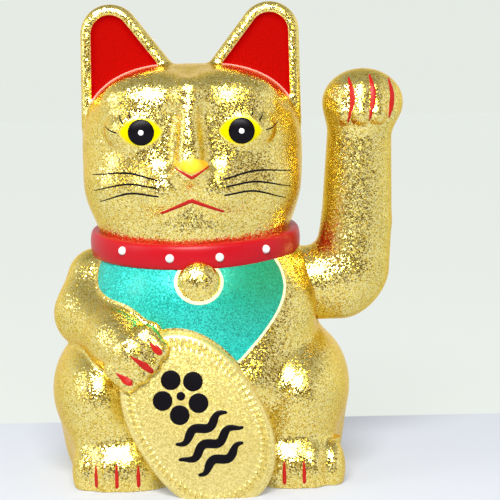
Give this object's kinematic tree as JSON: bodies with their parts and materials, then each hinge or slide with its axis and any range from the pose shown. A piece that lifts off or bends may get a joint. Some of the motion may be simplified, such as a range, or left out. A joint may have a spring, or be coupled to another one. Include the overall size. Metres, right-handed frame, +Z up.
{
  "type": "battery beckoning cat figurine",
  "caption": "Gold glitter beckoning cat figurine that waves its raised arm, with red collar, bell, teal bib and an oval tablet.",
  "frame": {"origin": "centre of the resting face, on the underside of the base plate", "axes": "+Z up, -Y the way the cat looks, +X towards the raised arm"},
  "size_m": [0.1409, 0.0991, 0.1851],
  "materials": {
    "front_shell": "vacuum-metallised gold with fine glitter",
    "rear_shell": "vacuum-metallised gold with fine glitter",
    "arm_front_shell": "vacuum-metallised gold with fine glitter",
    "arm_rear_shell": "vacuum-metallised gold with fine glitter",
    "base_plate": "satin",
    "base_screw_1": "zinc plated",
    "base_screw_2": "zinc plated",
    "base_screw_3": "zinc plated",
    "base_screw_4": "zinc plated",
    "battery_door": "satin",
    "battery_cell": "printed sleeve, plain",
    "battery_spring": "nickel plated",
    "battery_contact": "nickel plated",
    "switch_body": "pressed sheet",
    "switch_knob": "satin",
    "circuit_board": "solder mask",
    "driver_chip": "matte",
    "capacitor": "sleeve",
    "coil_bobbin": "satin",
    "coil_winding": "enamelled copper wire",
    "wire_positive": "insulation",
    "wire_negative": "insulation",
    "wire_coil": "enamelled copper wire",
    "mechanism_frame": "satin",
    "frame_screw_1": "zinc plated",
    "frame_screw_2": "zinc plated",
    "axle_bush_inner": "turned",
    "axle_bush_outer": "turned",
    "axle": "ground",
    "pendulum_lever": "satin",
    "pendulum_weight": "plain",
    "pendulum_magnet": "nickel plated",
    "arm_socket": "satin"
  },
  "bodies": {
    "body": {"front_shell": "front_shell", "rear_shell": "rear_shell", "base_plate": "base_plate", "base_screw_1": "base_screw_1", "base_screw_2": "base_screw_2", "base_screw_3": "base_screw_3", "base_screw_4": "base_screw_4", "battery_cell": "battery_cell", "battery_spring": "battery_spring", "battery_contact": "battery_contact", "switch_body": "switch_body", "circuit_board": "circuit_board", "driver_chip": "driver_chip", "capacitor": "capacitor", "coil_bobbin": "coil_bobbin", "coil_winding": "coil_winding", "wire_positive": "wire_positive", "wire_negative": "wire_negative", "wire_coil": "wire_coil", "mechanism_frame": "mechanism_frame", "frame_screw_1": "frame_screw_1", "frame_screw_2": "frame_screw_2", "axle_bush_inner": "axle_bush_inner", "axle_bush_outer": "axle_bush_outer"},
    "arm": {"arm_front_shell": "arm_front_shell", "arm_rear_shell": "arm_rear_shell", "arm_socket": "arm_socket", "axle": "axle", "pendulum_lever": "pendulum_lever", "pendulum_weight": "pendulum_weight", "pendulum_magnet": "pendulum_magnet"},
    "battery_door": {"battery_door": "battery_door"},
    "switch_knob": {"switch_knob": "switch_knob"}
  },
  "joints": [
    {"name": "arm_swing", "type": "hinge", "parent": "body", "child": "arm", "pos_m": [0.0302, 0, 0.0732], "axis": [1, 0, 0], "range_deg": [-22, 22]},
    {"name": "door_hinge", "type": "hinge", "parent": "body", "child": "battery_door", "pos_m": [-0.018, 0.0295, 0.0016], "axis": [1, 0, 0], "range_deg": [0, 80]},
    {"name": "switch_slide", "type": "slide", "parent": "body", "child": "switch_knob", "axis": [0, 1, 0], "range_m": [0, 0.002]}
  ]
}
